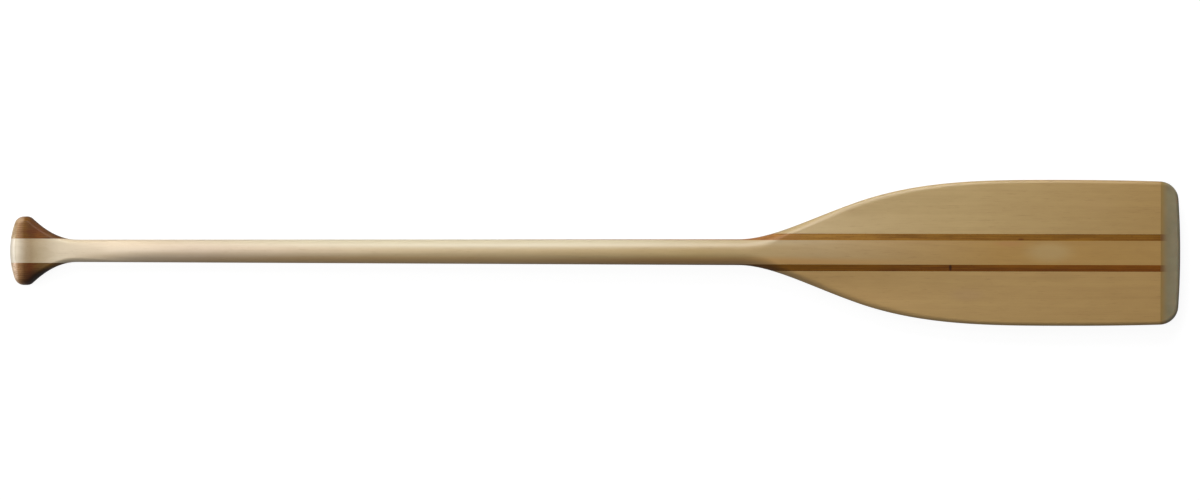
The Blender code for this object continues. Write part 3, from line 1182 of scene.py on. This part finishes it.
@dataclass(frozen=True)
class BoardPair(ABC):
    """Two boards alike in shape, one on each side, each with a look and a grain of its own.

    The side's sign moves the seed and sets which way the pith lies, so the grain isn't mirrored.
    """

    piece: str
    node: str
    board: str
    wood: type[Wood]
    points: int
    seed: float
    pith: Pair
    lean: Pair
    left: Look
    right: Look

    @abstractmethod
    def rings(self, slicer: Slicer, blank: Blank) -> list[np.ndarray]:
        """Sections of the left board. Each kind of board has its own."""

    def build(self, slicer: Slicer, blank: Blank) -> dict[Side, Piece]:
        """Builds both boards.

        Args:
            slicer: What cuts the sections.
            blank: Where the glue lines run.

        Returns:
            The boards by side.
        """
        rings = self.rings(slicer, blank)
        return {side: slicer.loft(f"{self.piece}_{side.word}", rings, side) for side in Side}

    def dress(self, boards: dict[Side, Piece]) -> None:
        """Gives each board its wood, and ties it to its node.

        Args:
            boards: The boards by side.
        """
        for side, board in boards.items():
            look = self.left if side is Side.LEFT else self.right
            pith = (self.pith[0] * side.value, self.pith[1])
            finish = self.wood(f"{self.board}_{side.word}", look, self.seed + side.value, pith, self.lean)
            dress(board, f"{self.node}_{side.word}", finish.material())


@dataclass(frozen=True)
class AccentStrips(BoardPair):
    """The dark strips beside the centre board: a feather on the shaft, full width from the throat on."""

    piece: str = "dark_strip"
    node: str = "accent_strip"
    board: str = "strip"
    wood: type[Wood] = Walnut
    points: int = 9
    seed: float = 4.0
    pith: Pair = (0.03, -0.05)
    lean: Pair = (0.008, 0.006)
    left: Look = Look(
        tones=((0.20, "976435"), (0.26, "916625"), (0.70, "815416")),
        # A pin knot.
        marks=(Mark((0.527, 0.0165), (0.010, 0.004), "5A2A08", 0.7),),
    )
    right: Look = Look(
        tones=((0.20, "6B4306"), (0.70, "754004")),
        # A pin knot as wide as the strip.
        marks=(Mark((0.4395, -0.0185), (0.005, 0.012), "2E1405", 0.9),),
    )

    def rings(self, slicer: Slicer, blank: Blank) -> list[np.ndarray]:
        """Sections of the left strip."""
        inner, outer = blank.centre_edge + blank.seam / 2, blank.accent_edge - blank.seam / 2
        return blank.into_tip(slicer, blank.accent_start(slicer.body), inner, outer, self.points)


@dataclass(frozen=True)
class BladeWings(BoardPair):
    """The pale boards outside the dark strips, which carry the blade's rounded edges."""

    piece: str = "pale_wing"
    node: str = "blade_wing"
    board: str = "wing"
    wood: type[Wood] = Basswood
    points: int = 44
    seed: float = 9.0
    pith: Pair = (-0.05, -0.07)
    lean: Pair = (0.012, 0.004)
    left: Look = Look(
        tones=((0.20, "B2996B"), (0.45, "B99C67"), (0.70, "B38F53")),
        # Paler wood near the tip.
        marks=(Mark((0.62, 0.060), (0.060, 0.020), "B8955E", 0.5),),
    )
    right: Look = Look(
        tones=((0.20, "BD965A"), (0.45, "B39056"), (0.70, "B69053")),
        marks=(
            # A greyish cloud, and a darker streak nearer the tip.
            Mark((0.46, -0.052), (0.060, 0.020), "A8845F", 0.25),
            Mark((0.57, -0.030), (0.080, 0.014), "A78349", 0.4),
        ),
    )

    def rings(self, slicer: Slicer, blank: Blank) -> list[np.ndarray]:
        """Sections of the left wing, which opens from nothing where the blade grows past the strip.

        Args:
            slicer: What cuts the sections.
            blank: Where the glue lines run.

        Returns:
            Its rings.
        """
        body, inner = slicer.body, blank.accent_edge + blank.seam / 2
        start = body.where_width_reaches(inner, body.throat_at, body.widest_at)
        nose = slicer.nose(start, 1)
        return blank.into_tip(slicer, start, inner, body.blade_width, self.points, nose)


@dataclass(frozen=True)
class GripCheeks(BoardPair):
    """The dark blocks beside the centre board that make the grip's lobes."""

    piece: str = "dark_cheek"
    node: str = "grip_cheek"
    board: str = "cheek"
    wood: type[Wood] = Walnut
    points: int = 44
    seed: float = 14.0
    pith: Pair = (0.04, -0.05)
    lean: Pair = (0.02, 0.015)
    # Painted highlight makes the crown pale and painted shade darkens the scoop behind it;
    # walnut's own brown runs on from there to the neck.
    left: Look = Look(
        tones=(
            (-0.725, "B8977A"),
            (-0.720, "BFA57F"),
            (-0.718, "B99C75"),
            (-0.7155, "A58359"),
            (-0.712, "9A724A"),
            (-0.705, "6C440F"),
            (-0.698, "5E360D"),
            (-0.688, "744210"),
            (-0.672, "5F3B14"),
            (-0.650, "5C3A16"),
        ),
        marks=(
            # A red-brown streak on the face.
            Mark((-0.694, 0.024), (0.040, 0.010), "5E200C", 0.25),
            # Painted highlight on the corner of the lobe.
            Mark((-0.7115, 0.0385), (0.014, 0.012), "B59A7C", 0.6),
            # Painted shade along the flank.
            Mark((-0.672, 0.042), (0.064, 0.056), "33241C", 0.75),
        ),
    )
    # The right cheek has the same painted highlight over the crown and painted shade in the scoop.
    right: Look = Look(
        tones=(
            (-0.725, "BE9468"),
            (-0.719, "DFC2A2"),
            (-0.717, "E2BE9B"),
            (-0.712, "A2774C"),
            (-0.705, "683F18"),
            (-0.698, "633109"),
            (-0.690, "6C4618"),
            (-0.683, "6A4A1C"),
            (-0.650, "6A481C"),
        ),
        # Painted shade along the flank, nearly black.
        marks=(Mark((-0.682, -0.0385), (0.072, 0.050), "160702", 0.95),),
    )

    def rings(self, slicer: Slicer, blank: Blank) -> list[np.ndarray]:
        """Sections of the left cheek, from the crown to where the neck has closed in past it.

        Args:
            slicer: What cuts the sections.
            blank: Where the glue lines run.

        Returns:
            Its rings.
        """
        body, inner = slicer.body, blank.centre_edge + blank.seam / 2
        start = body.where_width_reaches(inner, 0, body.crown_round)
        end = body.where_width_reaches(inner, body.grip_width / 2, body.neck_end)
        places = slicer.stations(start, end, slicer.nose(end, -1))
        return [slicer.ring(x, inner, body.grip_width, self.points) for x in places]


@dataclass(frozen=True)
class TipGuard:
    """The resin cast round the blade's end, with a pocket where the boards' tongue seats."""

    points: int = 91

    def build(self, slicer: Slicer, blank: Blank) -> Piece:
        """Builds the guard.

        Args:
            slicer: What cuts the sections.
            blank: Where the resin begins and how the tongue fits.

        Returns:
            The guard in its place.
        """
        body, clearance = slicer.body, blank.seat_clearance
        shoulder = blank.shoulder_line(body)
        start, width = shoulder + clearance, float(body.half_width(shoulder))
        outside = slicer.stations(start, body.length)[::-1]
        rings = [slicer.ring(x, -width, width, self.points) for x in outside]
        pocket_width = width - blank.tongue_side_inset + clearance
        pocket_thickness = blank.tongue_thickness + 2 * clearance
        for x in (start, shoulder + blank.tongue_length + clearance):
            rings.append(slicer.ring(x, -pocket_width, pocket_width, self.points, pocket_thickness))
        return slicer.loft("resin_tip_guard", rings)

    def dress(self, guard: Piece) -> None:
        """Gives the guard its resin, and ties it to its node."""
        dress(guard, "tip_guard", CastResin().material())


@dataclass(frozen=True)
class Softbox:
    """A plain white studio lamp: where it hangs, what it points at, its size and its power.

    One that isn't in_gloss lights the paddle but isn't mirrored in its varnish.
    """

    name: str
    place: tuple[float, float, float]
    target: tuple[float, float, float]
    size: Pair
    power: float
    in_gloss: bool = True

    def hang(self) -> Piece:
        """Hangs the lamp.

        Returns:
            The lamp.
        """
        light = bpy.data.lights.new(self.name, "AREA")
        light.shape = "RECTANGLE"
        light.size, light.size_y = self.size
        light.energy = self.power
        lamp = bpy.data.objects.new(self.name, light)
        lamp.location = self.place
        lamp.visible_glossy = self.in_gloss
        towards = Vector(self.target) - Vector(self.place)
        lamp.rotation_euler = towards.to_track_quat("-Z", "Y").to_euler()
        bpy.context.scene.collection.objects.link(lamp)
        return lamp


@dataclass(frozen=True)
class Studio:
    """White floor, dim surroundings, soft lamps, and the camera straight above the paddle.

    Fields named for the photo are in its pixels, and its tilt is how far the paddle lies off level.
    """

    photo_width: int = 1200
    photo_height: int = 500
    photo_left: float = 10.5
    photo_axis: float = 251.9
    photo_right: float = 1180.2
    photo_tilt: float = math.radians(0.12)
    lens: float = 100.0
    sensor: float = 36.0
    sight: float = 50.0
    floor_size: float = 14.0
    surround: float = 0.12
    floor_grey: str = "7A7A7A"
    floor_glow: float = 0.92
    seen_in_gloss: float = 0.10
    # The strip and the fill light the wood but stay out of its varnish, where the strip would turn
    # the blade white from low down in front. The varnish mirrors the weaker sheen lamp instead.
    lamps: tuple[Softbox, ...] = (
        Softbox("back_strip", (-0.20, 1.20, 0.75), (-0.20, 0.0, 0.02), (1.6, 0.9), 16.5, in_gloss=False),
        Softbox("back_sheen", (0.05, 1.35, 0.85), (0.05, 0.0, 0.02), (1.6, 0.7), 7.0),
        Softbox("front_fill", (0.10, -1.40, 0.70), (0.10, 0.0, 0.02), (1.6, 0.9), 1.2, in_gloss=False),
        Softbox("grip_high_back", (-1.25, 1.25, 2.43), (0.0, 0.0, 0.0), (0.7, 0.7), 12.4),
        Softbox("grip_overhead", (-0.93, 0.0, 2.85), (0.0, 0.0, 0.0), (0.5, 0.5), 7.1),
        Softbox("grip_high_end", (-1.50, 0.0, 2.60), (0.0, 0.0, 0.0), (0.5, 0.5), 6.5),
        Softbox("grip_low_end", (-1.35, 0.05, 0.12), (-0.70, 0.0, 0.02), (1.0, 0.2), 3.6),
        Softbox("blade_back", (0.50, 1.20, 0.90), (0.50, 0.0, 0.02), (0.8, 0.5), 2.0),
    )

    def lay_floor(self) -> Piece:
        """Lays the floor, which looks white to the camera and still takes the paddle's shadow.

        Returns:
            The floor.
        """
        shape = bmesh.new()
        bmesh.ops.create_grid(shape, x_segments=1, y_segments=1, size=self.floor_size / 2)
        mesh = bpy.data.meshes.new("studio_floor")
        shape.to_mesh(mesh)
        shape.free()
        floor = bpy.data.objects.new("studio_floor", mesh)
        bpy.context.scene.collection.objects.link(floor)
        material, tree = fresh_material("white_studio_floor")
        glow = add_node(tree, "Math", {0: self.seen(tree), 1: self.floor_glow}, operation="MULTIPLY")
        paper = add_node(tree, "BsdfDiffuse", {"Color": linear_colour(self.floor_grey)})
        light = add_node(tree, "Emission", {"Color": linear_colour(WHITE), "Strength": glow.outputs[0]})
        both = add_node(tree, "AddShader", {0: paper.outputs[0], 1: light.outputs[0]})
        add_node(tree, "OutputMaterial", {"Surface": both.outputs[0]})
        mesh.materials.append(material)
        return floor

    def seen(self, tree: Tree) -> Socket:
        """How much of the white setting a ray sees: all of it from the camera, less in varnish.

        Args:
            tree: Node tree of the floor or the surroundings.

        Returns:
            A value of 1 for the camera's rays and seen_in_gloss for mirrored ones.
        """
        ray = add_node(tree, "LightPath").outputs
        gloss = add_node(tree, "Math", {0: ray["Is Glossy Ray"], 1: self.seen_in_gloss}, operation="MULTIPLY")
        inputs = {0: ray["Is Camera Ray"], 1: ray["Is Transmission Ray"]}
        straight = add_node(tree, "Math", inputs, operation="MAXIMUM")
        inputs = {0: straight.outputs[0], 1: gloss.outputs[0]}
        return add_node(tree, "Math", inputs, operation="MAXIMUM").outputs[0]

    def light_surroundings(self) -> None:
        """White surroundings: dim as a source of light, white where the camera sees them."""
        world = bpy.data.worlds.new("white_surroundings")
        bpy.context.scene.world = world
        world.use_nodes = True
        tree = world.node_tree
        tree.nodes.clear()
        inputs = {"Value": self.seen(tree), "To Min": self.surround, "To Max": 1.0}
        strength = add_node(tree, "MapRange", inputs)
        inputs = {"Color": linear_colour(WHITE), "Strength": strength.outputs[0]}
        light = add_node(tree, "Background", inputs)
        add_node(tree, "OutputWorld", {"Surface": light.outputs[0]})

    def set_camera(self, body: ShapedBody) -> Piece:
        """Sets the camera straight above, framed as the photograph is.

        Args:
            body: The paddle, whose length sets the scale of the frame.

        Returns:
            The camera.
        """
        metres_per_pixel = body.length / (self.photo_right - self.photo_left)
        distance = metres_per_pixel * self.photo_width * self.lens / self.sensor
        middle_x = (self.photo_width / 2 - self.photo_left) * metres_per_pixel - body.length / 2
        middle_y = (self.photo_axis - self.photo_height / 2) * metres_per_pixel
        data = bpy.data.cameras.new("photo_camera")
        data.lens, data.sensor_width, data.clip_end = self.lens, self.sensor, self.sight
        camera = bpy.data.objects.new("photo_camera", data)
        camera.location = (middle_x, middle_y, body.grip_thickness / 2 + distance)
        camera.rotation_euler = Euler((0, 0, self.photo_tilt))
        bpy.context.scene.collection.objects.link(camera)
        bpy.context.scene.camera = camera
        return camera

    def set_up(self, body: ShapedBody) -> None:
        """Puts up the floor, the surroundings, the lamps and the camera.

        Args:
            body: The paddle that the camera is framed on.
        """
        self.lay_floor()
        self.light_surroundings()
        for lamp in self.lamps:
            lamp.hang()
        self.set_camera(body)
        bpy.context.scene.view_settings.view_transform = "Standard"


def main() -> None:
    """Builds and dresses each piece in order, then the studio round them."""
    logging.basicConfig(level=logging.INFO, format="%(name)s: %(message)s")
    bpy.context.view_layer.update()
    slicer, blank = Slicer(ShapedBody()), Blank()
    for maker in (CentreBoard(), AccentStrips(), BladeWings(), GripCheeks(), TipGuard()):
        maker.dress(maker.build(slicer, blank))
    Studio().set_up(slicer.body)


if __name__ == "__main__":
    main()
